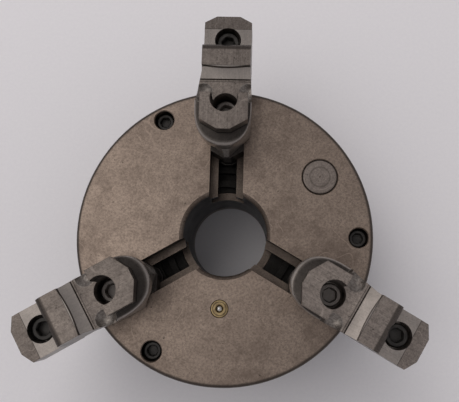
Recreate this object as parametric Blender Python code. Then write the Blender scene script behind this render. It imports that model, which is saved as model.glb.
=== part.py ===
"""Three-jaw self-centring scroll chuck, 158.75 mm body, two-piece reversible jaws.

Z is the spindle axis with 0 at the back of the adapter plate and the jaws on top.
"""
import math

import bmesh
import bpy
from mathutils import Matrix, Vector

MM = 0.001
GAP = 0.3 * MM

# Body
BODY_RADIUS = 79.375 * MM
BACK_Z = 10.0 * MM
FACE_Z = 63.5 * MM
RIM_ROUND = 2.2 * MM
BORE_RADIUS = 22.3 * MM
BORE_CHAMFER = 2.1 * MM
HUB_RADIUS = 26.4 * MM
CAVITY_RADIUS = 64.5 * MM
CAVITY_TOP = 43.3 * MM

# Jaw slots: wide above and below a pair of guide ribs
SLOT_HALF = 9.15 * MM
RIB_HALF = 5.1 * MM
RIB_LOW = 48.5 * MM
RIB_HIGH = 54.0 * MM
SLOT_FLOOR = 38.2 * MM
JAW_ANGLES = (90, 210, 330)

# Adapter plate behind the body
PLATE_TOP = BACK_Z - GAP
REGISTER_RADIUS = 35.0 * MM
REGISTER_DEPTH = 4.0 * MM
BOSS_INNER = 27.0 * MM
BOSS_OUTER = 48.5 * MM
BOSS_TOP = 33.1 * MM
STUD_CIRCLE = 56.0 * MM
STUD_RADIUS = 4.6 * MM
STUD_DEPTH = 6.0 * MM
STUD_ANGLES = (0, 120, 240)

# Scroll plate: spiral thread above, bevel teeth below
PITCH = 8.0 * MM
LAND = 3.6 * MM
DISC_LOW = 33.4 * MM
DISC_TOP = 38.5 * MM
THREAD_TOP = CAVITY_TOP - GAP
SCROLL_BORE = 26.75 * MM
SCROLL_RADIUS = CAVITY_RADIUS - GAP
THREAD_START = 29.0 * MM
THREAD_END = 62.0 * MM
THREAD_STEPS = 48
GEAR_TEETH = 56
GEAR_MEAN = 54.0 * MM
GEAR_INNER = 50.0 * MM
GEAR_OUTER = 58.0 * MM
GEAR_ADDENDUM = 0.9 * MM
GEAR_DEDENDUM = 2.0 * MM
PRESSURE = math.radians(20)
BACKLASH = 0.3 * MM

# Pinions, turned by the square key
PINION_TEETH = 8
PINION_Z = 22.5 * MM
PINION_ANGLES = (30, 150, 270)
PINION_ADDENDUM = 1.7 * MM
PINION_DEDENDUM = 1.25 * MM
PINION_NOSE = 5.0 * MM
PINION_JOURNAL = 10.2 * MM
PINION_END = 78.4 * MM
KEY_SQUARE = 9.0 * MM
KEY_DEPTH = 14.0 * MM
GROOVE_X = 70.2 * MM
GROOVE_HALF = 2.2 * MM
GROOVE_RADIUS = 8.0 * MM
PIN_RADIUS = 2.0 * MM

# Master jaws
MASTER_HALF = SLOT_HALF - 0.25 * MM
WEB_HALF = RIB_HALF - GAP
MASTER_NOSE = 41.0 * MM
NOSE_FLAT = 2.0 * MM
MASTER_END = 109.0 * MM
MASTER_TOP = 66.5 * MM
TOOTH_CLEAR = 0.25 * MM
TOOTH_HALF_WIDTH = 8.6 * MM
TONGUE_HALF = 6.35 * MM
TONGUE_RISE = 3.0 * MM

# Top jaws
JAW_HALF = 12.5 * MM
CAP_HALF = 11.9 * MM
CAP_Z = 95.0 * MM
BASE_NOSE = 41.2 * MM
BASE_NOSE_FLAT = 1.2 * MM
BASE_SIDES = (12.5 * MM, 14.0 * MM)
COLLAR_NOSE = 40.9 * MM
COLLAR_SIDES = (13.4 * MM, 15.4 * MM)
COLLAR_CENTRE = 60.0 * MM
COLLAR_ROUND = 2.3
COLLAR_END = 66.0 * MM
ARM_START = 81.0 * MM
JAW_BASE = MASTER_TOP + GAP
JAW_TOP = 103.5 * MM
STEP_Z = 93.5 * MM
LAND_Z = 83.5 * MM
JAW_NOSE = 46.4 * MM
JAW_NOSE_FLAT = 3.3 * MM
STEP_WALL = 65.4 * MM
CREASE = 83.5 * MM
LAND_WALL = 95.2 * MM
EDGE_ROUND = 3.6 * MM
SLOPE_START = 107.0 * MM
JAW_END = 114.8 * MM
END_Z = 81.8 * MM

# Socket head screws
SCREW_SIDES = 18
JAW_SCREW_SPACING = 38.1 * MM
INNER_SCREW = 62.5 * MM
COUNTERBORE = 6.9 * MM
SEAT_Z = 72.0 * MM
JAW_SCREW = dict(shank=3.97 * MM, head=6.0 * MM, rise=8.0 * MM, flats=6.35 * MM, depth=4.5 * MM)
MOUNT_SCREW = dict(shank=3.0 * MM, head=4.9 * MM, rise=6.0 * MM, flats=5.0 * MM, depth=3.5 * MM)
MOUNT_CIRCLE = 71.4 * MM
MOUNT_ANGLES = (119.4, 239.4, 359.4)
MOUNT_HOLE = 5.3 * MM
MOUNT_SEAT = 52.7 * MM
MOUNT_TIP = 2.5 * MM

# Face fittings
PLUG_ANGLE = 32.3
PLUG_CIRCLE = 59.9 * MM
PLUG_RADIUS = 9.4 * MM
PLUG_DEPTH = 4.0 * MM
OILER_ANGLE = 267.5
OILER_CIRCLE = 39.3 * MM
OILER_RADIUS = 4.6 * MM
OILER_DEPTH = 8.0 * MM
OIL_HOLE = 1.2 * MM
BALL_RADIUS = 2.2 * MM


def clear_scene():
    for item in list(bpy.data.objects):
        bpy.data.objects.remove(item, do_unlink=True)


def make_material(name, colour, roughness, metallic):
    material = bpy.data.materials.new(name)
    material.use_nodes = True
    shader = material.node_tree.nodes["Principled BSDF"]
    shader.inputs["Base Color"].default_value = (*colour, 1.0)
    shader.inputs["Roughness"].default_value = roughness
    shader.inputs["Metallic"].default_value = metallic
    material.diffuse_color = (*colour, 1.0)
    return material


def make_object(name, bm, material=None):
    bmesh.ops.recalc_face_normals(bm, faces=bm.faces)
    mesh = bpy.data.meshes.new(name)
    bm.to_mesh(mesh)
    bm.free()
    item = bpy.data.objects.new(name, mesh)
    bpy.context.scene.collection.objects.link(item)
    if material:
        mesh.materials.append(material)
    return item


def make_tool(name, bm):
    item = make_object(name, bm)
    item.hide_render = True
    item.display_type = "WIRE"
    return item


def combine(target, tool, operation):
    modifier = target.modifiers.new(tool.name, "BOOLEAN")
    modifier.operation = operation
    modifier.solver = "EXACT"
    modifier.object = tool


def circle(radius, z, sides, centre=(0, 0)):
    ring = []
    for step in range(sides):
        angle = 2 * math.pi * step / sides
        ring.append(Vector((centre[0] + radius * math.cos(angle), centre[1] + radius * math.sin(angle), z)))
    return ring


def hexagon(flats, z, sides):
    """A hexagon with evenly numbered points, so that it joins a circle of the same count."""
    ring = []
    for step in range(sides):
        angle = 2 * math.pi * step / sides
        off_flat = (angle % (math.pi / 3)) - math.pi / 6
        reach = flats / 2 / math.cos(off_flat)
        ring.append(Vector((reach * math.cos(angle), reach * math.sin(angle), z)))
    return ring


def plan(points, z):
    return [Vector((x, y, z)) for x, y in points]


def skin(bm, rings, closed=False):
    """Quads between rings of equal length, with caps unless the rings close on themselves."""
    rows = [[bm.verts.new(point) for point in ring] for ring in rings]
    pairs = list(zip(rows, rows[1:]))
    if closed:
        pairs.append((rows[-1], rows[0]))
    else:
        bm.faces.new(list(reversed(rows[0])))
        bm.faces.new(rows[-1])
    for lower, upper in pairs:
        for step in range(len(lower)):
            after = (step + 1) % len(lower)
            bm.faces.new((lower[step], lower[after], upper[after], upper[step]))
    return [vert for row in rows for vert in row]


def turned(bm, profile, sides, closed=False, centre=(0, 0)):
    """A solid of revolution from (radius, height) pairs."""
    return skin(bm, [circle(radius, z, sides, centre) for radius, z in profile], closed)


def side_prism(bm, outline, half_width):
    """An (x, z) outline extruded both ways along Y."""
    rings = [[Vector((x, side * half_width, z)) for x, z in outline] for side in (-1, 1)]
    return skin(bm, rings)


def move(bm, verts, matrix):
    bmesh.ops.transform(bm, matrix=matrix, verts=verts)


def around(angle):
    return Matrix.Rotation(math.radians(angle), 4, "Z")


def radial_frame(angle, height=0.0):
    """Turns local Z into the outward radial direction at this angle and height."""
    return around(angle) @ Matrix.Translation((0, 0, height)) @ Matrix.Rotation(math.pi / 2, 4, "Y")


def arc(centre, radius, start, end, steps):
    points = []
    for step in range(steps + 1):
        angle = math.radians(start + (end - start) * step / steps)
        points.append((centre[0] + radius * math.cos(angle), centre[1] + radius * math.sin(angle)))
    return points


# ---- body -------------------------------------------------------------------------------------

def body_profile():
    rim = arc((BODY_RADIUS - RIM_ROUND, FACE_Z - RIM_ROUND), RIM_ROUND, 90, 0, 3)
    back = 0.6 * MM
    return [
        (BORE_RADIUS, BACK_Z),
        (BORE_RADIUS, FACE_Z - BORE_CHAMFER),
        (BORE_RADIUS + BORE_CHAMFER, FACE_Z),
        *rim,
        (BODY_RADIUS, BACK_Z + back),
        (BODY_RADIUS - back, BACK_Z),
        (CAVITY_RADIUS, BACK_Z),
        (CAVITY_RADIUS, CAVITY_TOP),
        (HUB_RADIUS, CAVITY_TOP),
        (HUB_RADIUS, BACK_Z),
    ]


def slot_tool():
    bm = bmesh.new()
    near = 15 * MM
    far = 95 * MM
    high = FACE_Z + 5 * MM
    levels = [
        (SLOT_HALF, SLOT_FLOOR), (SLOT_HALF, RIB_LOW), (RIB_HALF, RIB_LOW),
        (RIB_HALF, RIB_HIGH), (SLOT_HALF, RIB_HIGH), (SLOT_HALF, high),
    ]
    for angle in JAW_ANGLES:
        rings = [plan([(near, -half), (far, -half), (far, half), (near, half)], z) for half, z in levels]
        move(bm, skin(bm, rings), around(angle))
    return make_tool("slot_tool", bm)


def face_hole_tool():
    bm = bmesh.new()
    high = FACE_Z + 5 * MM
    hole = [
        (MOUNT_SCREW["shank"] + GAP, BACK_Z - 2 * MM), (MOUNT_SCREW["shank"] + GAP, MOUNT_SEAT),
        (MOUNT_HOLE, MOUNT_SEAT), (MOUNT_HOLE, high),
    ]
    for angle in MOUNT_ANGLES:
        move(bm, turned(bm, hole, 24, centre=(MOUNT_CIRCLE, 0)), around(angle))
    plug = [(PLUG_RADIUS + GAP, FACE_Z - PLUG_DEPTH), (PLUG_RADIUS + GAP, high)]
    move(bm, turned(bm, plug, 40, centre=(PLUG_CIRCLE, 0)), around(PLUG_ANGLE))
    seat = FACE_Z - OILER_DEPTH
    pocket = OILER_RADIUS + 0.2 * MM
    oiler = [(OIL_HOLE, CAVITY_TOP - 2 * MM), (OIL_HOLE, seat), (pocket, seat), (pocket, high)]
    move(bm, turned(bm, oiler, 24, centre=(OILER_CIRCLE, 0)), around(OILER_ANGLE))
    return make_tool("face_hole_tool", bm)


def pinion_bore_tool():
    bm = bmesh.new()
    bore = [(PINION_JOURNAL + GAP, CAVITY_RADIUS - 4 * MM), (PINION_JOURNAL + GAP, BODY_RADIUS + 5 * MM)]
    for angle in PINION_ANGLES:
        move(bm, turned(bm, bore, 36), radial_frame(angle, PINION_Z))
    return make_tool("pinion_bore_tool", bm)


def pin_place(angle):
    return around(angle) @ Matrix.Translation((GROOVE_X, PINION_JOURNAL, 0))


def pin_hole_tool():
    bm = bmesh.new()
    hole = [(PIN_RADIUS + 0.25 * MM, BACK_Z - 2 * MM), (PIN_RADIUS + 0.25 * MM, 30 * MM)]
    for angle in PINION_ANGLES:
        move(bm, turned(bm, hole, 16), pin_place(angle))
    return make_tool("pin_hole_tool", bm)


def build_body(material):
    bm = bmesh.new()
    turned(bm, body_profile(), 80, closed=True)
    body = make_object("chuck_body", bm, material)
    combine(body, slot_tool(), "DIFFERENCE")
    combine(body, face_hole_tool(), "DIFFERENCE")
    combine(body, pinion_bore_tool(), "DIFFERENCE")
    combine(body, pin_hole_tool(), "DIFFERENCE")


# ---- adapter plate ----------------------------------------------------------------------------

def plate_profile():
    edge = 0.8 * MM
    return [
        (BORE_RADIUS, REGISTER_DEPTH), (BORE_RADIUS, PLATE_TOP), (BOSS_INNER, PLATE_TOP),
        (BOSS_INNER, BOSS_TOP), (BOSS_OUTER, BOSS_TOP), (BOSS_OUTER, PLATE_TOP),
        (BODY_RADIUS - edge, PLATE_TOP), (BODY_RADIUS, PLATE_TOP - edge), (BODY_RADIUS, edge),
        (BODY_RADIUS - edge, 0), (REGISTER_RADIUS, 0), (REGISTER_RADIUS, REGISTER_DEPTH),
    ]


def plate_hole_tool():
    bm = bmesh.new()
    for angle in PINION_ANGLES:
        nose = [(PINION_NOSE + GAP, 43 * MM), (PINION_NOSE + GAP, BOSS_OUTER + 3 * MM)]
        move(bm, turned(bm, nose, 24), radial_frame(angle, PINION_Z))
    for angle in MOUNT_ANGLES:
        thread = [(MOUNT_SCREW["shank"] + GAP, MOUNT_TIP - GAP), (MOUNT_SCREW["shank"] + GAP, BACK_Z + MM)]
        move(bm, turned(bm, thread, 16, centre=(MOUNT_CIRCLE, 0)), around(angle))
    for angle in STUD_ANGLES:
        stud = [(STUD_RADIUS, -2 * MM), (STUD_RADIUS, STUD_DEPTH)]
        move(bm, turned(bm, stud, 20, centre=(STUD_CIRCLE, 0)), around(angle))
    return make_tool("plate_hole_tool", bm)


def build_plate(material):
    bm = bmesh.new()
    turned(bm, plate_profile(), 56, closed=True)
    plate = make_object("back_plate", bm, material)
    combine(plate, plate_hole_tool(), "DIFFERENCE")


# ---- scroll -----------------------------------------------------------------------------------

def gear_ring(radius):
    """Bevel teeth whose edges all run to the apex where the pinion axes meet the Z axis."""
    pitch_slope = PINION_TEETH / GEAR_TEETH
    thickness = math.pi * GEAR_MEAN / GEAR_TEETH - BACKLASH
    tip_half = (thickness / 2 - GEAR_ADDENDUM * math.tan(PRESSURE)) / GEAR_MEAN
    root_half = (thickness / 2 + GEAR_DEDENDUM * math.tan(PRESSURE)) / GEAR_MEAN
    tip_slope = pitch_slope - GEAR_ADDENDUM / GEAR_MEAN
    root_slope = pitch_slope + GEAR_DEDENDUM / GEAR_MEAN
    left = ((-root_half, root_slope), (-tip_half, tip_slope))
    corners = left + ((tip_half, tip_slope), (root_half, root_slope))
    ring = []
    for tooth in range(GEAR_TEETH):
        middle = 2 * math.pi * tooth / GEAR_TEETH
        for offset, slope in corners:
            angle = middle + offset
            across = Vector((math.cos(angle), math.sin(angle), slope))
            ring.append(across * radius + Vector((0, 0, PINION_Z)))
    return ring


def flat_ring(teeth_ring, radius, z):
    ring = []
    for point in teeth_ring:
        direction = Vector((point.x, point.y, 0)).normalized()
        ring.append(Vector((direction.x * radius, direction.y * radius, z)))
    return ring


def spiral_tool():
    """The square thread: one turn moves the wall outward by the pitch."""
    bm = bmesh.new()
    total = round(THREAD_STEPS * (THREAD_END - THREAD_START) / PITCH)
    low = DISC_TOP - 1.0 * MM
    rings = []
    for step in range(total + 1):
        angle = 2 * math.pi * step / THREAD_STEPS
        middle = THREAD_START + PITCH * step / THREAD_STEPS
        across = Vector((math.cos(angle), math.sin(angle), 0))
        ring = []
        for side, z in ((-1, low), (1, low), (1, THREAD_TOP), (-1, THREAD_TOP)):
            ring.append(across * (middle + side * LAND / 2) + Vector((0, 0, z)))
        rings.append(ring)
    skin(bm, rings)
    return make_tool("spiral_tool", bm)


def build_scroll(material):
    bm = bmesh.new()
    inner = gear_ring(GEAR_INNER)
    outer = gear_ring(GEAR_OUTER)
    rings = [
        flat_ring(inner, SCROLL_BORE, DISC_TOP),
        flat_ring(inner, SCROLL_BORE, DISC_LOW),
        flat_ring(inner, GEAR_INNER, DISC_LOW),
        inner,
        outer,
        flat_ring(outer, GEAR_OUTER, DISC_LOW),
        flat_ring(outer, SCROLL_RADIUS, DISC_LOW),
        flat_ring(outer, SCROLL_RADIUS, DISC_TOP),
    ]
    skin(bm, rings, closed=True)
    scroll = make_object("scroll", bm, material)
    combine(scroll, spiral_tool(), "UNION")


# ---- pinions ----------------------------------------------------------------------------------

def involute(angle):
    return math.tan(angle) - angle


def pinion_tooth_points():
    """(angle, radius) pairs for one tooth at the mean section, from root to root."""
    pitch_radius = GEAR_MEAN * PINION_TEETH / GEAR_TEETH
    base = pitch_radius * math.cos(PRESSURE)
    thickness = math.pi * GEAR_MEAN / GEAR_TEETH - BACKLASH
    at_base = thickness / 2 / pitch_radius + involute(PRESSURE)
    flank = [(at_base, pitch_radius - PINION_DEDENDUM)]
    for radius in (pitch_radius, pitch_radius + PINION_ADDENDUM):
        flank.append((at_base - involute(math.acos(base / radius)), radius))
    mirrored = [(-angle, radius) for angle, radius in flank]
    return mirrored + flank[::-1]


def pinion_teeth_ring(x):
    ring = []
    for tooth in range(PINION_TEETH):
        for offset, radius in pinion_tooth_points():
            angle = 2 * math.pi * tooth / PINION_TEETH + offset
            reach = radius * x / GEAR_MEAN
            ring.append(Vector((x, -reach * math.sin(angle), reach * math.cos(angle))))
    return ring


def round_ring(teeth_ring, x, radius):
    ring = []
    for point in teeth_ring:
        direction = Vector((0, point.y, point.z)).normalized()
        ring.append(Vector((x, direction.y * radius, direction.z * radius)))
    return ring


def key_tool(name, placement):
    bm = bmesh.new()
    half = KEY_SQUARE / 2
    square = [(-half, -half), (half, -half), (half, half), (-half, half)]
    rings = [plan(square, PINION_END - KEY_DEPTH), plan(square, PINION_END + 3 * MM)]
    move(bm, skin(bm, rings), Matrix.Rotation(math.pi / 2, 4, "Y"))
    tool = make_tool(name, bm)
    tool.matrix_world = placement
    return tool


def mesh_roll(angle):
    """Roll that puts a pinion gap on the nearest scroll tooth."""
    phase = (angle / 360 * GEAR_TEETH) % 1
    return (0.5 + phase) * 2 * math.pi / PINION_TEETH


def build_pinion(index, angle, material):
    bm = bmesh.new()
    start = GEAR_INNER - 0.5 * MM
    end = GEAR_OUTER + 0.4 * MM
    inner = pinion_teeth_ring(start)
    outer = pinion_teeth_ring(end)
    shoulder = end + 0.4 * MM
    neck = 6.0 * MM
    bevel = 0.6 * MM
    rings = [
        round_ring(inner, 44 * MM, PINION_NOSE),
        round_ring(inner, start, PINION_NOSE),
        inner,
        outer,
        round_ring(outer, end, neck),
        round_ring(outer, shoulder, neck),
        round_ring(outer, shoulder, PINION_JOURNAL),
        round_ring(outer, GROOVE_X - GROOVE_HALF, PINION_JOURNAL),
        round_ring(outer, GROOVE_X - GROOVE_HALF, GROOVE_RADIUS),
        round_ring(outer, GROOVE_X + GROOVE_HALF, GROOVE_RADIUS),
        round_ring(outer, GROOVE_X + GROOVE_HALF, PINION_JOURNAL),
        round_ring(outer, PINION_END - bevel, PINION_JOURNAL),
        round_ring(outer, PINION_END, PINION_JOURNAL - bevel),
    ]
    skin(bm, rings)
    pinion = make_object(f"pinion_{index}", bm, material)
    place = around(angle) @ Matrix.Translation((0, 0, PINION_Z))
    pinion.matrix_world = place @ Matrix.Rotation(mesh_roll(angle), 4, "X")
    combine(pinion, key_tool(f"key_tool_{index}", place), "DIFFERENCE")


def build_pin(index, angle, material):
    bm = bmesh.new()
    bevel = 0.4 * MM
    profile = [
        (PIN_RADIUS - bevel, 12 * MM), (PIN_RADIUS, 12 * MM + bevel),
        (PIN_RADIUS, 29.6 * MM - bevel), (PIN_RADIUS - bevel, 29.6 * MM),
    ]
    turned(bm, profile, 16)
    pin = make_object(f"pinion_pin_{index}", bm, material)
    pin.matrix_world = pin_place(angle)


# ---- jaws -------------------------------------------------------------------------------------

def nosed_plan(nose, flat, half, end):
    """A jaw seen from above: a flat nose, 120 degree bevels and a square end."""
    shoulder = nose + (half - flat) / math.sqrt(3)
    return [(nose, -flat), (shoulder, -half), (end, -half), (end, half), (shoulder, half), (nose, flat)]


def wall_offset(radius, y):
    """How far the spiral wall leaves a flat plane, at y from the jaw's centre line."""
    reach = radius + PITCH * y / (2 * math.pi * radius)
    return math.sqrt(reach * reach - y * y) - radius


def tooth_outline(centre):
    """Faces that clear the thread wall at both ends of the jaw's travel."""
    half_gap = (PITCH - LAND) / 2 - TOOTH_CLEAR
    near = THREAD_START
    far = THREAD_END + LAND
    steps = 6
    inner = []
    outer = []
    for step in range(steps + 1):
        y = TOOTH_HALF_WIDTH * (2 * step / steps - 1)
        offsets = (wall_offset(near, y), wall_offset(far, y))
        inner.append((centre - half_gap + max(offsets), y))
        outer.append((centre + half_gap + min(offsets), y))
    return inner + outer[::-1]


def tooth_centres(angle):
    centre = THREAD_START + PITCH * (angle / 360 + 0.5)
    centres = []
    while centre < MASTER_END - 2.5 * MM:
        if centre > MASTER_NOSE + 6.5 * MM:
            centres.append(centre)
        centre += PITCH
    return centres


def master_tools(index, angle):
    bm = bmesh.new()
    for centre in tooth_centres(angle):
        outline = tooth_outline(centre)
        skin(bm, [plan(outline, DISC_TOP + GAP), plan(outline, CAVITY_TOP + 2 * MM)])
    middle = INNER_SCREW + JAW_SCREW_SPACING / 2
    side = MASTER_HALF - 0.3 * MM
    near = middle - TONGUE_HALF
    far = middle + TONGUE_HALF
    tongue = [(near, -side), (far, -side), (far, side), (near, side)]
    skin(bm, [plan(tongue, MASTER_TOP - 2 * MM), plan(tongue, MASTER_TOP + TONGUE_RISE)])
    teeth = make_tool(f"master_teeth_{index}", bm)

    bm = bmesh.new()
    bore = JAW_SCREW["shank"] + 0.25 * MM
    hole = [(bore, 55.2 * MM), (bore, MASTER_TOP + 6 * MM)]
    for x in (INNER_SCREW, INNER_SCREW + JAW_SCREW_SPACING):
        turned(bm, hole, SCREW_SIDES, centre=(x, 0))
    holes = make_tool(f"master_holes_{index}", bm)
    for tool in (teeth, holes):
        tool.matrix_world = around(angle)
    return teeth, holes


def build_master(index, angle, material):
    wide = nosed_plan(MASTER_NOSE, NOSE_FLAT, MASTER_HALF, MASTER_END)
    web = nosed_plan(MASTER_NOSE + GAP, NOSE_FLAT - GAP, WEB_HALF, MASTER_END - GAP)
    levels = [
        (wide, CAVITY_TOP), (wide, RIB_LOW - GAP), (web, RIB_LOW - GAP),
        (web, RIB_HIGH + GAP), (wide, RIB_HIGH + GAP), (wide, MASTER_TOP),
    ]
    bm = bmesh.new()
    skin(bm, [plan(outline, z) for outline, z in levels])
    master = make_object(f"master_jaw_{index}", bm, material)
    master.matrix_world = around(angle)
    teeth, holes = master_tools(index, angle)
    combine(master, teeth, "UNION")
    combine(master, holes, "DIFFERENCE")


def jaw_side_outline():
    edge = arc((LAND_WALL - EDGE_ROUND, STEP_Z - EDGE_ROUND), EDGE_ROUND, 90, 0, 3)
    slope = (END_Z - LAND_Z) / (JAW_END - SLOPE_START)
    beyond = JAW_END + 5 * MM
    hollow = 3.6 * MM
    low = STEP_Z - hollow
    scoop = [
        (STEP_WALL, low),
        (STEP_WALL + (CREASE - STEP_WALL) / 3, low - 0.4 * MM),
        (STEP_WALL + (CREASE - STEP_WALL) * 2 / 3, low + 0.2 * MM),
        (CREASE - 0.2 * MM, low + 1.6 * MM),
        (CREASE, STEP_Z),
    ]
    return [
        (COLLAR_NOSE - 5 * MM, JAW_BASE), (COLLAR_NOSE - 5 * MM, JAW_TOP), (STEP_WALL, JAW_TOP),
        *scoop, *edge, (LAND_WALL, LAND_Z), (SLOPE_START, LAND_Z),
        (beyond, LAND_Z + slope * (beyond - SLOPE_START)), (beyond, JAW_BASE),
    ]


def jaw_plan(nose, flat, bevel, sides, oval=False):
    """The jaw seen from above, with its own width on each side and a bevelled or an oval nose."""
    corner = 3.8 * MM
    end_half = 6.2 * MM
    steps = 6
    halves = []
    for side, half in zip((-1, 1), sides):
        points = []
        for step in range(steps + 1):
            y = flat + (half - flat) * math.sin(math.pi / 2 * step / steps)
            x = nose + (y - flat) / math.tan(math.radians(bevel))
            if oval:
                across = max(0.0, 1 - (y / half) ** COLLAR_ROUND) ** (1 / COLLAR_ROUND)
                x = COLLAR_CENTRE - (COLLAR_CENTRE - nose) * across
            points.append((x, side * y))
        arm = min(half, JAW_HALF)
        points += [(COLLAR_END, side * half), (ARM_START, side * arm)]
        points += [(JAW_END - corner, side * arm), (JAW_END, side * end_half)]
        halves.append(points)
    return halves[0] + halves[1][::-1]


def jaw_plan_tool(index):
    """A slender base, a wide oval collar under the tall step, and the bevelled cap above it."""
    bm = bmesh.new()
    base = jaw_plan(BASE_NOSE, BASE_NOSE_FLAT, 45, BASE_SIDES)
    collar = jaw_plan(COLLAR_NOSE, BASE_NOSE_FLAT, 60, COLLAR_SIDES, oval=True)
    ledge = jaw_plan(COLLAR_NOSE + 2.6 * MM, BASE_NOSE_FLAT, 60, (12.7 * MM, 13.8 * MM), oval=True)
    cap = jaw_plan(JAW_NOSE + 0.5 * MM, JAW_NOSE_FLAT, 60, (CAP_HALF, CAP_HALF))
    levels = [
        (base, JAW_BASE - 5 * MM), (base, JAW_BASE + 4 * MM), (collar, CAP_Z - 7 * MM),
        (collar, CAP_Z - 2.5 * MM), (ledge, CAP_Z - 0.4 * MM), (cap, CAP_Z), (cap, JAW_TOP + 5 * MM),
    ]
    skin(bm, [plan(outline, z) for outline, z in levels])
    return make_tool(f"jaw_plan_{index}", bm)


def jaw_cut_tool(index):
    """Both screw holes with their counterbores, and the groove over the master jaw's tongue."""
    bm = bmesh.new()
    clearance = JAW_SCREW["shank"] + GAP
    hole = [
        (clearance, JAW_BASE - 3 * MM), (clearance, SEAT_Z),
        (COUNTERBORE, SEAT_Z), (COUNTERBORE, JAW_TOP + 3 * MM),
    ]
    for x in (INNER_SCREW, INNER_SCREW + JAW_SCREW_SPACING):
        turned(bm, hole, 24, centre=(x, 0))
    middle = INNER_SCREW + JAW_SCREW_SPACING / 2
    near = middle - TONGUE_HALF - GAP
    far = middle + TONGUE_HALF + GAP
    groove = [(near, JAW_BASE - 3 * MM), (near, MASTER_TOP + TONGUE_RISE + GAP),
              (far, MASTER_TOP + TONGUE_RISE + GAP), (far, JAW_BASE - 3 * MM)]
    side_prism(bm, groove, 20 * MM)
    return make_tool(f"jaw_cuts_{index}", bm)


def jaw_pocket_tool(index):
    """Rounded hollows at the outer corners of the tall step."""
    bm = bmesh.new()
    for side in (-1, 1):
        centre = Matrix.Translation((STEP_WALL + 4.2 * MM, side * 11.3 * MM, CAP_Z - 0.5 * MM))
        bmesh.ops.create_icosphere(bm, subdivisions=2, radius=6.6 * MM, matrix=centre)
    return make_tool(f"jaw_pockets_{index}", bm)


def build_top_jaw(index, angle, material):
    bm = bmesh.new()
    side_prism(bm, jaw_side_outline(), 18 * MM)
    jaw = make_object(f"top_jaw_{index}", bm, material)
    jaw.matrix_world = around(angle)
    tools = (
        (jaw_plan_tool(index), "INTERSECT"),
        (jaw_cut_tool(index), "DIFFERENCE"),
        (jaw_pocket_tool(index), "DIFFERENCE"),
    )
    for tool, operation in tools:
        tool.matrix_world = around(angle)
        combine(jaw, tool, operation)


# ---- screws and face fittings -----------------------------------------------------------------

def build_screw(name, size, place, seat, tip, material):
    bm = bmesh.new()
    bevel = 0.5 * MM
    top = seat + size["rise"]
    rings = [
        circle(size["shank"] - bevel, tip, SCREW_SIDES),
        circle(size["shank"], tip + bevel, SCREW_SIDES),
        circle(size["shank"], seat, SCREW_SIDES),
        circle(size["head"], seat, SCREW_SIDES),
        circle(size["head"], top - bevel, SCREW_SIDES),
        circle(size["head"] - bevel, top, SCREW_SIDES),
        hexagon(size["flats"], top, SCREW_SIDES),
        hexagon(size["flats"], top - size["depth"], SCREW_SIDES),
    ]
    skin(bm, rings)
    screw = make_object(name, bm, material)
    screw.matrix_world = place


def build_screws(material):
    for index, angle in enumerate(JAW_ANGLES, 1):
        for label, x in (("inner", INNER_SCREW), ("outer", INNER_SCREW + JAW_SCREW_SPACING)):
            place = around(angle) @ Matrix.Translation((x, 0, 0))
            build_screw(f"jaw_screw_{label}_{index}", JAW_SCREW, place, SEAT_Z + GAP, 55.5 * MM, material)
    for index, angle in enumerate(MOUNT_ANGLES, 1):
        place = around(angle) @ Matrix.Translation((MOUNT_CIRCLE, 0, 0))
        build_screw(f"mounting_screw_{index}", MOUNT_SCREW, place, MOUNT_SEAT + GAP, MOUNT_TIP, material)


def build_plug(material):
    bm = bmesh.new()
    top = FACE_Z - 0.1 * MM
    low = FACE_Z - PLUG_DEPTH + GAP
    turned(bm, [(PLUG_RADIUS, low), (PLUG_RADIUS, top - 0.3 * MM), (PLUG_RADIUS - 0.3 * MM, top)], 40)
    plug = make_object("face_plug", bm, material)
    plug.matrix_world = around(PLUG_ANGLE) @ Matrix.Translation((PLUG_CIRCLE, 0, 0))


def build_oiler(brass, steel):
    place = around(OILER_ANGLE) @ Matrix.Translation((OILER_CIRCLE, 0, 0))
    top = FACE_Z - 0.1 * MM
    low = FACE_Z - OILER_DEPTH + GAP
    wall = BALL_RADIUS + 0.3 * MM
    mouth = BALL_RADIUS - 0.3 * MM
    bm = bmesh.new()
    profile = [
        (OIL_HOLE, low), (OILER_RADIUS, low), (OILER_RADIUS, top), (mouth, top),
        (mouth, top - 0.9 * MM), (wall, top - 0.9 * MM), (wall, low + 1.0 * MM), (OIL_HOLE, low + 1.0 * MM),
    ]
    turned(bm, profile, 20, closed=True)
    oiler = make_object("oiler_body", bm, brass)
    oiler.matrix_world = place
    bm = bmesh.new()
    bmesh.ops.create_icosphere(bm, subdivisions=2, radius=BALL_RADIUS)
    ball = make_object("oiler_ball", bm, steel)
    ball.matrix_world = place @ Matrix.Translation((0, 0, FACE_Z - 2.6 * MM))


def main():
    clear_scene()
    ground = make_material("ground_steel", (0.46, 0.43, 0.40), 0.38, 0.9)
    turned_steel = make_material("turned_steel", (0.40, 0.38, 0.36), 0.42, 0.9)
    gear_steel = make_material("gear_steel", (0.30, 0.29, 0.28), 0.40, 0.9)
    jaw_steel = make_material("jaw_steel", (0.50, 0.48, 0.45), 0.35, 0.9)
    black_oxide = make_material("black_oxide", (0.035, 0.035, 0.04), 0.45, 0.6)
    brass = make_material("brass", (0.55, 0.42, 0.20), 0.35, 0.95)
    bright = make_material("bright_steel", (0.65, 0.65, 0.66), 0.2, 1.0)
    build_body(ground)
    build_plate(turned_steel)
    build_scroll(gear_steel)
    for index, angle in enumerate(PINION_ANGLES, 1):
        build_pinion(index, angle, turned_steel)
        build_pin(index, angle, bright)
    for index, angle in enumerate(JAW_ANGLES, 1):
        build_master(index, angle, gear_steel)
        build_top_jaw(index, angle, jaw_steel)
    build_screws(black_oxide)
    build_plug(turned_steel)
    build_oiler(brass, bright)


main()
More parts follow.
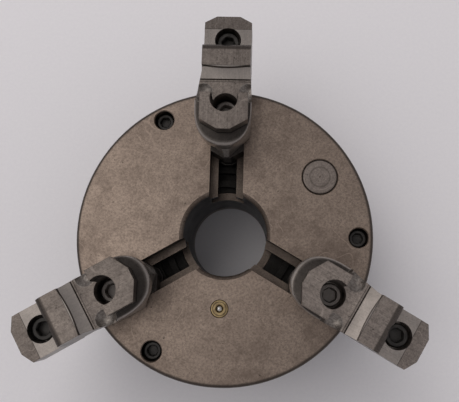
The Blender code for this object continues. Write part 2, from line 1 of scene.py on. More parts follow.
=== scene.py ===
"""Looks for the three-jaw scroll chuck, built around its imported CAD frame.

Every piece is modelled again at a finer resolution in its node's own place, with broken edges and worn
steel, brass and black oxide surfaces. Lengths are in metres.
"""
import math

import bmesh
import bpy
from mathutils import Matrix, Vector


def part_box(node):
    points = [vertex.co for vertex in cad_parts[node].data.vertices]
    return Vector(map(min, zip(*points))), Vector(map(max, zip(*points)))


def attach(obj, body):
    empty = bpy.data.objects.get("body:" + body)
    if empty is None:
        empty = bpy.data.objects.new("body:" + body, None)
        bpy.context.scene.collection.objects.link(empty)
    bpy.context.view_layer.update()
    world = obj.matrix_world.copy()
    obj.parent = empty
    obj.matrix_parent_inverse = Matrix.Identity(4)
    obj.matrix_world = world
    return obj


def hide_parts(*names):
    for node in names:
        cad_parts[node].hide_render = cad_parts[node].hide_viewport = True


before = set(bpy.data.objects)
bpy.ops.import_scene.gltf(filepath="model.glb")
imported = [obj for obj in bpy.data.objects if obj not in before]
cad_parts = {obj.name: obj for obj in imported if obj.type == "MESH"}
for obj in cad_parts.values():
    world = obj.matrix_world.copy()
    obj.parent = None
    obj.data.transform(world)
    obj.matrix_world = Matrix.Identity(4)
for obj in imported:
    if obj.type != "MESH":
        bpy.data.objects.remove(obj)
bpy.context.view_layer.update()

MM = 0.001
GAP = 0.3 * MM

# Sizes that the frame gives
BODY_LOW, BODY_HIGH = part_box("chuck_body")
BODY_RADIUS = (BODY_HIGH[0] - BODY_LOW[0]) / 2
BACK_Z = BODY_LOW[2]
FACE_Z = BODY_HIGH[2]
THREAD_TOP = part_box("scroll")[1][2]
JAW_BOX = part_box("top_jaw_1")
JAW_BASE = JAW_BOX[0][2]
JAW_TOP = JAW_BOX[1][2]
COLLAR_NOSE = JAW_BOX[0][1]
JAW_END = JAW_BOX[1][1]
COLLAR_SIDES = (JAW_BOX[1][0], -JAW_BOX[0][0])
MASTER_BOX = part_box("master_jaw_1")
MASTER_NOSE = MASTER_BOX[0][1]
MASTER_END = MASTER_BOX[1][1]
MASTER_HALF = MASTER_BOX[1][0]

# Body
RIM_ROUND = 2.2 * MM
BORE_RADIUS = 22.3 * MM
BORE_CHAMFER = 2.1 * MM
HUB_RADIUS = 26.4 * MM
CAVITY_RADIUS = 64.5 * MM
CAVITY_TOP = THREAD_TOP + GAP

# Jaw slots
SLOT_HALF = 9.15 * MM
RIB_HALF = 5.1 * MM
RIB_LOW = 48.5 * MM
RIB_HIGH = 54.0 * MM
SLOT_FLOOR = 38.2 * MM
JAW_ANGLES = (90, 210, 330)

# Adapter plate
PLATE_TOP = BACK_Z - GAP
REGISTER_RADIUS = 35.0 * MM
REGISTER_DEPTH = 4.0 * MM
BOSS_INNER = 27.0 * MM
BOSS_OUTER = 48.5 * MM
BOSS_TOP = 33.1 * MM
STUD_CIRCLE = 56.0 * MM
STUD_RADIUS = 4.6 * MM
STUD_DEPTH = 6.0 * MM
STUD_ANGLES = (0, 120, 240)

# Scroll
PITCH = 8.0 * MM
LAND = 3.6 * MM
DISC_LOW = 33.4 * MM
DISC_TOP = 38.5 * MM
SCROLL_BORE = 26.75 * MM
SCROLL_RADIUS = CAVITY_RADIUS - GAP
THREAD_START = 29.0 * MM
THREAD_END = 62.0 * MM
THREAD_STEPS = 120
GEAR_TEETH = 56
GEAR_MEAN = 54.0 * MM
GEAR_INNER = 50.0 * MM
GEAR_OUTER = 58.0 * MM
GEAR_ADDENDUM = 0.9 * MM
GEAR_DEDENDUM = 2.0 * MM
PRESSURE = math.radians(20)
BACKLASH = 0.3 * MM

# Pinions
PINION_TEETH = 8
PINION_Z = 22.5 * MM
PINION_ANGLES = (30, 150, 270)
PINION_ADDENDUM = 1.7 * MM
PINION_DEDENDUM = 1.25 * MM
PINION_NOSE = 5.0 * MM
PINION_JOURNAL = 10.2 * MM
PINION_END = 78.4 * MM
KEY_SQUARE = 9.0 * MM
KEY_DEPTH = 14.0 * MM
GROOVE_X = 70.2 * MM
GROOVE_HALF = 2.2 * MM
GROOVE_RADIUS = 8.0 * MM
PIN_RADIUS = 2.0 * MM
PIN_LOW = 12.0 * MM
PIN_HIGH = 29.6 * MM

# Master jaws
WEB_HALF = RIB_HALF - GAP
NOSE_FLAT = 2.0 * MM
MASTER_TOP = 66.5 * MM
TOOTH_CLEAR = 0.25 * MM
TOOTH_HALF_WIDTH = 8.6 * MM
TONGUE_HALF = 6.35 * MM
TONGUE_RISE = 3.0 * MM
SERRATIONS = 8

# Top jaws
JAW_HALF = 12.5 * MM
CAP_HALF = 11.9 * MM
CAP_Z = 95.0 * MM
BASE_NOSE = 41.2 * MM
BASE_NOSE_FLAT = 1.2 * MM
BASE_SIDES = (12.5 * MM, 14.0 * MM)
COLLAR_CENTRE = 60.0 * MM
COLLAR_ROUND = 2.3
COLLAR_END = 66.0 * MM
LEDGE_SIDES = (12.7 * MM, 13.8 * MM)
ARM_START = 81.0 * MM
STEP_Z = 93.5 * MM
LAND_Z = 83.5 * MM
# Painted light and shade: each jaw's steel is made lighter or darker for how the light falls on it.
JAW_LIGHT_AND_SHADE = (0.95, 0.86, 1.28)
JAW_NOSE = 46.4 * MM
JAW_NOSE_FLAT = 3.3 * MM
STEP_WALL = 65.4 * MM
CREASE = 83.5 * MM
CREASE_BOW = 1.2 * MM
LAND_WALL = 95.2 * MM
EDGE_ROUND = 3.6 * MM
SLOPE_START = 107.0 * MM
END_Z = 81.8 * MM
POCKET_X = STEP_WALL + 4.2 * MM
POCKET_Y = 11.3 * MM
POCKET_Z = CAP_Z - 0.5 * MM
POCKET_RADIUS = 6.6 * MM
GRIP_GROOVES = 8
GRIP_SPACING = 2.4 * MM
SCRIBE_X = 76.5 * MM

# Socket head screws
SCREW_SIDES = 48
JAW_SCREW_SPACING = 38.1 * MM
INNER_SCREW = 62.5 * MM
COUNTERBORE = 6.9 * MM
SEAT_Z = 72.0 * MM
JAW_SCREW = dict(shank=3.97 * MM, head=6.0 * MM, rise=8.0 * MM, flats=6.35 * MM, depth=4.5 * MM)
MOUNT_SCREW = dict(shank=3.0 * MM, head=4.9 * MM, rise=6.0 * MM, flats=5.0 * MM, depth=3.5 * MM)
MOUNT_CIRCLE = 71.4 * MM
MOUNT_ANGLES = (119.4, 239.4, 359.4)
MOUNT_HOLE = 5.3 * MM
MOUNT_SEAT = 52.7 * MM
MOUNT_TIP = 2.5 * MM

# Face fittings
PLUG_ANGLE = 32.3
PLUG_CIRCLE = 59.9 * MM
PLUG_RADIUS = 9.4 * MM
PLUG_DEPTH = 4.0 * MM
OILER_ANGLE = 267.5
OILER_CIRCLE = 39.3 * MM
OILER_RADIUS = 4.6 * MM
OILER_DEPTH = 8.0 * MM
OIL_HOLE = 1.2 * MM
BALL_RADIUS = 2.2 * MM

# Camera, from the fit of the rim, slots and jaws
CAMERA_PLACE = Vector((20.45, -34.64, 396.58)) * MM
CAMERA_TURN = (9.823, 0.031, 1.074)
CAMERA_LENS = 49.18
CAMERA_SHIFT = (-0.0699, -0.0194)

# Tones shared by several surfaces
# Near black: painted shade in the body and under the jaw caps, and dark lines and grime elsewhere.
GRIME_AND_SHADE = (0.012, 0.0105, 0.0095)
# Dark brown: old oil on the plug, and painted shade on the body's rim and the jaws.
OLD_OIL_AND_SHADE = (0.045, 0.037, 0.032)


# ---- making solids ----------------------------------------------------------------------------

def around(angle):
    return Matrix.Rotation(math.radians(angle), 4, "Z")


def radial_frame(angle, height=0.0):
    """Turns local Z into the outward radial direction at this angle and height."""
    return around(angle) @ Matrix.Translation((0, 0, height)) @ Matrix.Rotation(math.pi / 2, 4, "Y")


def on_face(angle, circle_radius):
    return around(angle) @ Matrix.Translation((circle_radius, 0, 0))


def make_object(name, bm):
    bmesh.ops.recalc_face_normals(bm, faces=bm.faces)
    mesh = bpy.data.meshes.new(name)
    bm.to_mesh(mesh)
    bm.free()
    item = bpy.data.objects.new(name, mesh)
    bpy.context.scene.collection.objects.link(item)
    return item


def combine(target, bm, operation):
    """Applies one Boolean straight away and drops its tool."""
    tool = make_object(target.name + "_tool", bm)
    modifier = target.modifiers.new(operation.lower(), "BOOLEAN")
    modifier.operation = operation
    modifier.solver = "EXACT"
    modifier.object = tool
    graph = bpy.context.evaluated_depsgraph_get()
    mesh = bpy.data.meshes.new_from_object(target.evaluated_get(graph))
    target.modifiers.clear()
    target.data = mesh
    bpy.data.objects.remove(tool, do_unlink=True)


def clean(item):
    """Merges the slivers that a Boolean leaves, so that edges can be broken evenly."""
    bm = bmesh.new()
    bm.from_mesh(item.data)
    bmesh.ops.remove_doubles(bm, verts=bm.verts, dist=0.01 * MM)
    bmesh.ops.dissolve_degenerate(bm, edges=bm.edges, dist=0.01 * MM)
    bmesh.ops.dissolve_limit(bm, angle_limit=math.radians(0.4), verts=bm.verts, edges=bm.edges)
    bm.to_mesh(item.data)
    bm.free()


def break_edges(item, width, segments=2, angle=32):
    clean(item)
    for polygon in item.data.polygons:
        polygon.use_smooth = True
    item.data.set_sharp_from_angle(angle=math.radians(15))
    bevel = item.modifiers.new("broken_edges", "BEVEL")
    bevel.width = width
    bevel.segments = segments
    bevel.limit_method = "ANGLE"
    bevel.angle_limit = math.radians(angle)
    bevel.use_clamp_overlap = True
    bevel.harden_normals = True
    bevel.miter_outer = "MITER_ARC"


def finish_piece(item, node, body, material, place=None, edge=0.25 * MM):
    """Puts the piece where the CAD has it, by moving its mesh, breaks its edges, gives it its material,
    parents it to its body and hides its CAD node.
    """
    if place is not None:
        item.data.transform(place)
    break_edges(item, edge)
    item.data.materials.clear()
    item.data.materials.append(material)
    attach(item, body)
    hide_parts(node)


def circle(radius, z, sides, centre=(0, 0)):
    ring = []
    for step in range(sides):
        angle = 2 * math.pi * step / sides
        ring.append(Vector((centre[0] + radius * math.cos(angle), centre[1] + radius * math.sin(angle), z)))
    return ring


def hexagon(flats, z, sides):
    """A hexagon with evenly numbered points, so that it joins a circle of the same count."""
    ring = []
    for step in range(sides):
        angle = 2 * math.pi * step / sides
        off_flat = (angle % (math.pi / 3)) - math.pi / 6
        reach = flats / 2 / math.cos(off_flat)
        ring.append(Vector((reach * math.cos(angle), reach * math.sin(angle), z)))
    return ring


def plan(points, z):
    return [Vector((x, y, z)) for x, y in points]


def skin(bm, rings, closed=False):
    """Quads between rings of equal length, with caps unless the rings close on themselves."""
    rows = [[bm.verts.new(point) for point in ring] for ring in rings]
    pairs = list(zip(rows, rows[1:]))
    if closed:
        pairs.append((rows[-1], rows[0]))
    else:
        bm.faces.new(list(reversed(rows[0])))
        bm.faces.new(rows[-1])
    for lower, upper in pairs:
        for step in range(len(lower)):
            after = (step + 1) % len(lower)
            bm.faces.new((lower[step], lower[after], upper[after], upper[step]))
    return [vert for row in rows for vert in row]


def turned(bm, profile, sides, closed=False, centre=(0, 0)):
    """A solid of revolution from (radius, height) pairs."""
    return skin(bm, [circle(radius, z, sides, centre) for radius, z in profile], closed)


def move(bm, verts, matrix):
    bmesh.ops.transform(bm, matrix=matrix, verts=verts)


def arc(centre, radius, start, end, steps):
    points = []
    for step in range(steps + 1):
        angle = math.radians(start + (end - start) * step / steps)
        points.append((centre[0] + radius * math.cos(angle), centre[1] + radius * math.sin(angle)))
    return points


def rounded(points, radii, steps=4):
    """An outline whose corners are replaced by tangent arcs of the given radii."""
    outline = []
    count = len(points)
    for index, radius in enumerate(radii):
        corner = Vector(points[index])
        before = (Vector(points[index - 1]) - corner).normalized()
        after = (Vector(points[(index + 1) % count]) - corner).normalized()
        half = before.angle(after) / 2
        reach = radius / math.tan(half)
        centre = corner + (before + after).normalized() * radius / math.sin(half)
        start = corner + before * reach - centre
        end = corner + after * reach - centre
        for step in range(steps + 1):
            mixed = start.lerp(end, step / steps)
            point = centre + mixed.normalized() * radius
            outline.append((point.x, point.y))
    return outline


# ---- body and adapter plate -------------------------------------------------------------------

def body_profile():
    rim = arc((BODY_RADIUS - RIM_ROUND, FACE_Z - RIM_ROUND), RIM_ROUND, 90, 0, 8)
    back = 0.6 * MM
    return [
        (BORE_RADIUS, BACK_Z),
        (BORE_RADIUS, FACE_Z - BORE_CHAMFER),
        (BORE_RADIUS + BORE_CHAMFER, FACE_Z),
        *rim,
        (BODY_RADIUS, BACK_Z + back),
        (BODY_RADIUS - back, BACK_Z),
        (CAVITY_RADIUS, BACK_Z),
        (CAVITY_RADIUS, CAVITY_TOP),
        (HUB_RADIUS, CAVITY_TOP),
        (HUB_RADIUS, BACK_Z),
    ]


def slot_shape():
    bm = bmesh.new()
    near = 15 * MM
    far = 95 * MM
    levels = [
        (SLOT_HALF, SLOT_FLOOR), (SLOT_HALF, RIB_LOW), (RIB_HALF, RIB_LOW),
        (RIB_HALF, RIB_HIGH), (SLOT_HALF, RIB_HIGH), (SLOT_HALF, FACE_Z + 5 * MM),
    ]
    for angle in JAW_ANGLES:
        rings = [plan([(near, -half), (far, -half), (far, half), (near, half)], z) for half, z in levels]
        move(bm, skin(bm, rings), around(angle))
    return bm


def face_hole_shape():
    bm = bmesh.new()
    high = FACE_Z + 5 * MM
    clearance = MOUNT_SCREW["shank"] + GAP
    chamfer = 0.5 * MM
    hole = [
        (clearance, BACK_Z - 2 * MM), (clearance, MOUNT_SEAT), (MOUNT_HOLE, MOUNT_SEAT),
        (MOUNT_HOLE, FACE_Z - chamfer), (MOUNT_HOLE + chamfer, FACE_Z), (MOUNT_HOLE + chamfer, high),
    ]
    for angle in MOUNT_ANGLES:
        move(bm, turned(bm, hole, 64, centre=(MOUNT_CIRCLE, 0)), around(angle))
    rim = PLUG_RADIUS + GAP
    mouth = rim + chamfer
    plug = [(rim, FACE_Z - PLUG_DEPTH), (rim, FACE_Z - chamfer), (mouth, FACE_Z), (mouth, high)]
    move(bm, turned(bm, plug, 96, centre=(PLUG_CIRCLE, 0)), around(PLUG_ANGLE))
    seat = FACE_Z - OILER_DEPTH
    pocket = OILER_RADIUS + 0.2 * MM
    oiler = [(OIL_HOLE, CAVITY_TOP - 2 * MM), (OIL_HOLE, seat), (pocket, seat), (pocket, high)]
    move(bm, turned(bm, oiler, 48, centre=(OILER_CIRCLE, 0)), around(OILER_ANGLE))
    return bm


def pinion_bore_shape():
    bm = bmesh.new()
    bore = [(PINION_JOURNAL + GAP, CAVITY_RADIUS - 4 * MM), (PINION_JOURNAL + GAP, BODY_RADIUS + 5 * MM)]
    for angle in PINION_ANGLES:
        move(bm, turned(bm, bore, 80), radial_frame(angle, PINION_Z))
    return bm


def pin_place(angle):
    return around(angle) @ Matrix.Translation((GROOVE_X, PINION_JOURNAL, 0))


def pin_hole_shape():
    bm = bmesh.new()
    hole = [(PIN_RADIUS + 0.25 * MM, BACK_Z - 2 * MM), (PIN_RADIUS + 0.25 * MM, 30 * MM)]
    for angle in PINION_ANGLES:
        move(bm, turned(bm, hole, 24), pin_place(angle))
    return bm


def build_body(material):
    bm = bmesh.new()
    turned(bm, body_profile(), 240, closed=True)
    body = make_object("ground_body", bm)
    for shape in (slot_shape, face_hole_shape, pinion_bore_shape, pin_hole_shape):
        combine(body, shape(), "DIFFERENCE")
    finish_piece(body, "chuck_body", "body", material, edge=0.3 * MM)


def plate_profile():
    edge = 0.8 * MM
    return [
        (BORE_RADIUS, REGISTER_DEPTH), (BORE_RADIUS, PLATE_TOP), (BOSS_INNER, PLATE_TOP),
        (BOSS_INNER, BOSS_TOP), (BOSS_OUTER, BOSS_TOP), (BOSS_OUTER, PLATE_TOP),
        (BODY_RADIUS - edge, PLATE_TOP), (BODY_RADIUS, PLATE_TOP - edge), (BODY_RADIUS, edge),
        (BODY_RADIUS - edge, 0), (REGISTER_RADIUS, 0), (REGISTER_RADIUS, REGISTER_DEPTH),
    ]


def plate_hole_shape():
    bm = bmesh.new()
    clearance = MOUNT_SCREW["shank"] + GAP
    for angle in PINION_ANGLES:
        nose = [(PINION_NOSE + GAP, 43 * MM), (PINION_NOSE + GAP, BOSS_OUTER + 3 * MM)]
        move(bm, turned(bm, nose, 40), radial_frame(angle, PINION_Z))
    for angle in MOUNT_ANGLES:
        thread = [(clearance, MOUNT_TIP - GAP), (clearance, BACK_Z + MM)]
        move(bm, turned(bm, thread, 32, centre=(MOUNT_CIRCLE, 0)), around(angle))
    chamfer = 0.6 * MM
    for angle in STUD_ANGLES:
        stud = [
            (STUD_RADIUS + chamfer, -2 * MM), (STUD_RADIUS + chamfer, 0),
            (STUD_RADIUS, chamfer), (STUD_RADIUS, STUD_DEPTH),
        ]
        move(bm, turned(bm, stud, 48, centre=(STUD_CIRCLE, 0)), around(angle))
    return bm


def build_plate(material):
    bm = bmesh.new()
    turned(bm, plate_profile(), 240, closed=True)
    plate = make_object("adapter_plate", bm)
    combine(plate, plate_hole_shape(), "DIFFERENCE")
    finish_piece(plate, "back_plate", "body", material)


# ---- scroll -----------------------------------------------------------------------------------

def gear_ring(radius):
    """Bevel teeth whose edges all run to the apex where the pinion axes meet the Z axis."""
    pitch_slope = PINION_TEETH / GEAR_TEETH
    thickness = math.pi * GEAR_MEAN / GEAR_TEETH - BACKLASH
    tip_half = (thickness / 2 - GEAR_ADDENDUM * math.tan(PRESSURE)) / GEAR_MEAN
    root_half = (thickness / 2 + GEAR_DEDENDUM * math.tan(PRESSURE)) / GEAR_MEAN
    tip_slope = pitch_slope - GEAR_ADDENDUM / GEAR_MEAN
    root_slope = pitch_slope + GEAR_DEDENDUM / GEAR_MEAN
    left = ((-root_half, root_slope), (-tip_half, tip_slope))
    corners = left + ((tip_half, tip_slope), (root_half, root_slope))
    ring = []
    for tooth in range(GEAR_TEETH):
        middle = 2 * math.pi * tooth / GEAR_TEETH
        for offset, slope in corners:
            angle = middle + offset
            across = Vector((math.cos(angle), math.sin(angle), slope))
            ring.append(across * radius + Vector((0, 0, PINION_Z)))
    return ring


def flat_ring(teeth_ring, radius, z):
    ring = []
    for point in teeth_ring:
        direction = Vector((point.x, point.y, 0)).normalized()
        ring.append(Vector((direction.x * radius, direction.y * radius, z)))
    return ring


def spiral_shape():
    """The square thread: one turn moves the wall outward by the pitch."""
    bm = bmesh.new()
    total = round(THREAD_STEPS * (THREAD_END - THREAD_START) / PITCH)
    low = DISC_TOP - 1.0 * MM
    rings = []
    for step in range(total + 1):
        angle = 2 * math.pi * step / THREAD_STEPS
        middle = THREAD_START + PITCH * step / THREAD_STEPS
        across = Vector((math.cos(angle), math.sin(angle), 0))
        ring = []
        for side, z in ((-1, low), (1, low), (1, THREAD_TOP), (-1, THREAD_TOP)):
            ring.append(across * (middle + side * LAND / 2) + Vector((0, 0, z)))
        rings.append(ring)
    skin(bm, rings)
    return bm


def build_scroll(material):
    bm = bmesh.new()
    inner = gear_ring(GEAR_INNER)
    outer = gear_ring(GEAR_OUTER)
    rings = [
        flat_ring(inner, SCROLL_BORE, DISC_TOP),
        flat_ring(inner, SCROLL_BORE, DISC_LOW),
        flat_ring(inner, GEAR_INNER, DISC_LOW),
        inner,
        outer,
        flat_ring(outer, GEAR_OUTER, DISC_LOW),
        flat_ring(outer, SCROLL_RADIUS, DISC_LOW),
        flat_ring(outer, SCROLL_RADIUS, DISC_TOP),
    ]
    skin(bm, rings, closed=True)
    scroll = make_object("scroll_plate", bm)
    combine(scroll, spiral_shape(), "UNION")
    finish_piece(scroll, "scroll", "scroll_plate", material, edge=0.15 * MM)


# ---- pinions ----------------------------------------------------------------------------------

def involute(angle):
    return math.tan(angle) - angle


def pinion_tooth_points():
    """(angle, radius) pairs for one tooth at the mean section, from root to root."""
    pitch_radius = GEAR_MEAN * PINION_TEETH / GEAR_TEETH
    base = pitch_radius * math.cos(PRESSURE)
    thickness = math.pi * GEAR_MEAN / GEAR_TEETH - BACKLASH
    at_base = thickness / 2 / pitch_radius + involute(PRESSURE)
    flank = [(at_base, pitch_radius - PINION_DEDENDUM)]
    for part in range(5):
        radius = base + (pitch_radius + PINION_ADDENDUM - base) * part / 4
        flank.append((at_base - involute(math.acos(min(1.0, base / radius))), radius))
    mirrored = [(-angle, radius) for angle, radius in flank]
    return mirrored + flank[::-1]


def pinion_teeth_ring(x):
    ring = []
    for tooth in range(PINION_TEETH):
        for offset, radius in pinion_tooth_points():
            angle = 2 * math.pi * tooth / PINION_TEETH + offset
            reach = radius * x / GEAR_MEAN
            ring.append(Vector((x, -reach * math.sin(angle), reach * math.cos(angle))))
    return ring


def round_ring(teeth_ring, x, radius):
    """As many points as the toothed ring, evenly spaced and starting at the same one."""
    count = len(teeth_ring)
    first = math.atan2(-teeth_ring[0].y, teeth_ring[0].z)
    ring = []
    for step in range(count):
        angle = first + 2 * math.pi * step / count
        ring.append(Vector((x, -radius * math.sin(angle), radius * math.cos(angle))))
    return ring


def key_shape(roll):
    bm = bmesh.new()
    half = KEY_SQUARE / 2
    corners = rounded([(-half, -half), (half, -half), (half, half), (-half, half)], [0.5 * MM] * 4)
    rings = [plan(corners, PINION_END - KEY_DEPTH), plan(corners, PINION_END + 3 * MM)]
    move(bm, skin(bm, rings), Matrix.Rotation(-roll, 4, "X") @ Matrix.Rotation(math.pi / 2, 4, "Y"))
    return bm


def mesh_roll(angle):
    """Roll that puts a pinion gap on the nearest scroll tooth."""
    phase = (angle / 360 * GEAR_TEETH) % 1
    return (0.5 + phase) * 2 * math.pi / PINION_TEETH


def build_pinion(index, angle, material):
    bm = bmesh.new()
    start = GEAR_INNER - 0.5 * MM
    end = GEAR_OUTER + 0.4 * MM
    inner = pinion_teeth_ring(start)
    outer = pinion_teeth_ring(end)
    shoulder = end + 0.4 * MM
    neck = 6.0 * MM
    bevel = 0.8 * MM
    rings = [
        round_ring(inner, 44 * MM, PINION_NOSE),
        round_ring(inner, start, PINION_NOSE),
        inner,
        outer,
        round_ring(outer, end, neck),
        round_ring(outer, shoulder, neck),
        round_ring(outer, shoulder, PINION_JOURNAL),
        round_ring(outer, GROOVE_X - GROOVE_HALF, PINION_JOURNAL),
        round_ring(outer, GROOVE_X - GROOVE_HALF, GROOVE_RADIUS),
        round_ring(outer, GROOVE_X + GROOVE_HALF, GROOVE_RADIUS),
        round_ring(outer, GROOVE_X + GROOVE_HALF, PINION_JOURNAL),
        round_ring(outer, PINION_END - bevel, PINION_JOURNAL),
        round_ring(outer, PINION_END, PINION_JOURNAL - bevel),
    ]
    skin(bm, rings)
    pinion = make_object(f"drive_pinion_{index}", bm)
    roll = mesh_roll(angle)
    combine(pinion, key_shape(roll), "DIFFERENCE")
    place = around(angle) @ Matrix.Translation((0, 0, PINION_Z)) @ Matrix.Rotation(roll, 4, "X")
    body = f"pinion_body_{index}"
    finish_piece(pinion, f"pinion_{index}", body, material, place, 0.15 * MM)


def build_pin(index, angle, material):
    bm = bmesh.new()
    bevel = 0.4 * MM
    profile = [
        (PIN_RADIUS - bevel, PIN_LOW), (PIN_RADIUS, PIN_LOW + bevel),
        (PIN_RADIUS, PIN_HIGH - bevel), (PIN_RADIUS - bevel, PIN_HIGH),
    ]
    turned(bm, profile, 40)
    pin = make_object(f"retaining_pin_{index}", bm)
    finish_piece(pin, f"pinion_pin_{index}", "body", material, pin_place(angle), 0.1 * MM)


# ---- master jaws ------------------------------------------------------------------------------

def nosed_plan(nose, flat, half, end):
    """A jaw seen from above: a flat nose, 120 degree bevels and a square end."""
    shoulder = nose + (half - flat) / math.sqrt(3)
    return [(nose, -flat), (shoulder, -half), (end, -half), (end, half), (shoulder, half), (nose, flat)]


def wall_offset(radius, y):
    """How far the spiral wall leaves a flat plane, at y from the jaw's centre line."""
    reach = radius + PITCH * y / (2 * math.pi * radius)
    return math.sqrt(reach * reach - y * y) - radius


def tooth_outline(centre):
    """Faces that clear the thread wall at both ends of the jaw's travel."""
    half_gap = (PITCH - LAND) / 2 - TOOTH_CLEAR
    near = THREAD_START
    far = THREAD_END + LAND
    steps = 12
    inner = []
    outer = []
    for step in range(steps + 1):
        y = TOOTH_HALF_WIDTH * (2 * step / steps - 1)
        offsets = (wall_offset(near, y), wall_offset(far, y))
        inner.append((centre - half_gap + max(offsets), y))
        outer.append((centre + half_gap + min(offsets), y))
    return inner + outer[::-1]


def tooth_centres(angle):
    centre = THREAD_START + PITCH * (angle / 360 + 0.5)
    centres = []
    while centre < MASTER_END - 2.5 * MM:
        if centre > MASTER_NOSE + 6.5 * MM:
            centres.append(centre)
        centre += PITCH
    return centres


def master_growth(angle):
    """Teeth below and the cross tongue above."""
    bm = bmesh.new()
    for centre in tooth_centres(angle):
        outline = tooth_outline(centre)
        skin(bm, [plan(outline, DISC_TOP + GAP), plan(outline, CAVITY_TOP + 2 * MM)])
    middle = INNER_SCREW + JAW_SCREW_SPACING / 2
    side = MASTER_HALF - 0.3 * MM
    near = middle - TONGUE_HALF
    far = middle + TONGUE_HALF
    tongue = [(near, -side), (far, -side), (far, side), (near, side)]
    skin(bm, [plan(tongue, MASTER_TOP - 2 * MM), plan(tongue, MASTER_TOP + TONGUE_RISE)])
    return bm


def master_cuts():
    """Screw holes, and the fine grooves across the nose."""
    bm = bmesh.new()
    bore = JAW_SCREW["shank"] + 0.25 * MM
    hole = [(bore, 55.2 * MM), (bore, MASTER_TOP + 6 * MM)]
    for x in (INNER_SCREW, INNER_SCREW + JAW_SCREW_SPACING):
        turned(bm, hole, 40, centre=(x, 0))
    depth = 0.45 * MM
    spacing = (MASTER_TOP - RIB_HIGH - GAP) / SERRATIONS
    for step in range(SERRATIONS):
        z = MASTER_TOP - spacing * (step + 0.5)
        half = spacing * 0.28
        front = MASTER_NOSE - 1 * MM
        side = NOSE_FLAT + 3 * MM
        profile = [(front, z - 2 * half), (MASTER_NOSE + depth, z), (front, z + 2 * half)]
        skin(bm, [[Vector((x, y, height)) for x, height in profile] for y in (-side, side)])
    return bm


def build_master(index, angle, material):
    wide = nosed_plan(MASTER_NOSE, NOSE_FLAT, MASTER_HALF, MASTER_END)
    web = nosed_plan(MASTER_NOSE + GAP, NOSE_FLAT - GAP, WEB_HALF, MASTER_END - GAP)
    levels = [
        (wide, CAVITY_TOP), (wide, RIB_LOW - GAP), (web, RIB_LOW - GAP),
        (web, RIB_HIGH + GAP), (wide, RIB_HIGH + GAP), (wide, MASTER_TOP),
    ]
    bm = bmesh.new()
    skin(bm, [plan(outline, z) for outline, z in levels])
    master = make_object(f"sliding_jaw_{index}", bm)
    combine(master, master_growth(angle), "UNION")
    combine(master, master_cuts(), "DIFFERENCE")
    place = around(angle)
    finish_piece(master, f"master_jaw_{index}", f"jaw_{index}", material, place, 0.2 * MM)


# ---- top jaws ---------------------------------------------------------------------------------

def scoop_outline():
    """The hollow between the tall step and the crease, from the wall outward."""
    hollow = 3.6 * MM
    low = STEP_Z - hollow
    span = CREASE - STEP_WALL
    points = []
    steps = 14
    for step in range(steps + 1):
        part = step / steps
        sag = -1.6 * MM * part * (1 - part)
        points.append((STEP_WALL + (span - 0.25 * MM) * part, low + 1.7 * MM * part ** 2 + sag))
    scribed = []
    for start, end in zip(points, points[1:]):
        scribed.append(start)
        if start[0] < SCRIBE_X < end[0]:
            scribed.append((SCRIBE_X - 0.25 * MM, start[1]))
            scribed.append((SCRIBE_X, start[1] - 0.35 * MM))
            scribed.append((SCRIBE_X + 0.25 * MM, start[1]))
    return scribed + points[-1:]


def jaw_side_outline():
    edge = arc((LAND_WALL - EDGE_ROUND, STEP_Z - EDGE_ROUND), EDGE_ROUND, 90, 0, 10)
    slope = (END_Z - LAND_Z) / (JAW_END - SLOPE_START)
    beyond = JAW_END + 5 * MM
    return [
        (COLLAR_NOSE - 5 * MM, JAW_BASE), (COLLAR_NOSE - 5 * MM, JAW_TOP), (STEP_WALL, JAW_TOP),
        *scoop_outline(), (CREASE, STEP_Z), *edge, (LAND_WALL, LAND_Z), (SLOPE_START, LAND_Z),
        (beyond, LAND_Z + slope * (beyond - SLOPE_START)), (beyond, JAW_BASE),
    ]


def bow(x, y):
    """The crease is an arc that bows towards the nose in the middle of the jaw."""
    near = max(0.0, 1 - abs(x - CREASE) / (6 * MM))
    return -CREASE_BOW * near * (1 - (y / JAW_HALF) ** 2)


def jaw_blank(index):
    bm = bmesh.new()
    strips = 16
    half = 18 * MM
    outline = jaw_side_outline()
    rings = []
    for strip in range(strips + 1):
        y = half * (2 * strip / strips - 1)
        rings.append([Vector((x + bow(x, min(max(y, -JAW_HALF), JAW_HALF)), y, z)) for x, z in outline])
    skin(bm, rings)
    return make_object(f"stepped_jaw_{index}", bm)


def jaw_plan(nose, flat, bevel, sides, oval=False):
    """The jaw seen from above, with its own width on each side and a bevelled or an oval nose."""
    corner = 3.8 * MM
    end_half = 6.2 * MM
    steps = 14
    halves = []
    for side, half in zip((-1, 1), sides):
        points = []
        for step in range(steps + 1):
            y = flat + (half - flat) * math.sin(math.pi / 2 * step / steps)
            x = nose + (y - flat) / math.tan(math.radians(bevel))
            if oval:
                across = max(0.0, 1 - (y / half) ** COLLAR_ROUND) ** (1 / COLLAR_ROUND)
                x = COLLAR_CENTRE - (COLLAR_CENTRE - nose) * across
            points.append((x, side * y))
        arm = min(half, JAW_HALF)
        points += [(COLLAR_END, side * half), (ARM_START, side * arm)]
        points += [(JAW_END - corner, side * arm), (JAW_END, side * end_half)]
        halves.append(points)
    return halves[0] + halves[1][::-1]


